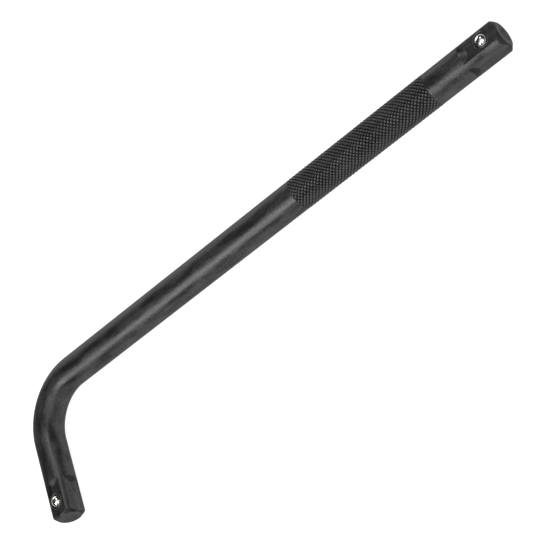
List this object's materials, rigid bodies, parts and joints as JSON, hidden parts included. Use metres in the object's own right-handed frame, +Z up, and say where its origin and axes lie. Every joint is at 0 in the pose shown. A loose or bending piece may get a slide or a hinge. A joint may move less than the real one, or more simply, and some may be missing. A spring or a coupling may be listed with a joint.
{
  "type": "breaker bar",
  "caption": "Round steel bar bent at a right angle, with a square drive and a spring ball at each end and a knurled grip on the long arm, for turning sockets.",
  "frame": {"origin": "under the middle of the bounding box, at the level of the bar's underside as it lies flat", "axes": "+X from the bend along the long arm, -Y from the bend along the short arm, +Z up out of the flats that hold the balls"},
  "size_m": [0.305, 0.0747, 0.0161],
  "materials": {
    "black_phosphate_steel": "black phosphate, satin, lightly oiled",
    "polished_ball_steel": "polished bearing steel",
    "spring_wire": "drawn spring wire"
  },
  "bodies": {
    "handle": {"handle_bar": "black_phosphate_steel", "long_drive_spring": "spring_wire", "short_drive_spring": "spring_wire"},
    "long_ball": {"long_drive_ball": "polished_ball_steel"},
    "short_ball": {"short_drive_ball": "polished_ball_steel"}
  },
  "joints": [
    {"name": "long_ball_press", "type": "slide", "parent": "handle", "child": "long_ball", "axis": [0, 0, -1], "range_m": [0, 0.002], "stiffness_N_per_m": 2000, "deforming": ["long_drive_spring"]},
    {"name": "short_ball_press", "type": "slide", "parent": "handle", "child": "short_ball", "axis": [0, 0, -1], "range_m": [0, 0.002], "stiffness_N_per_m": 2000, "deforming": ["short_drive_spring"]}
  ]
}
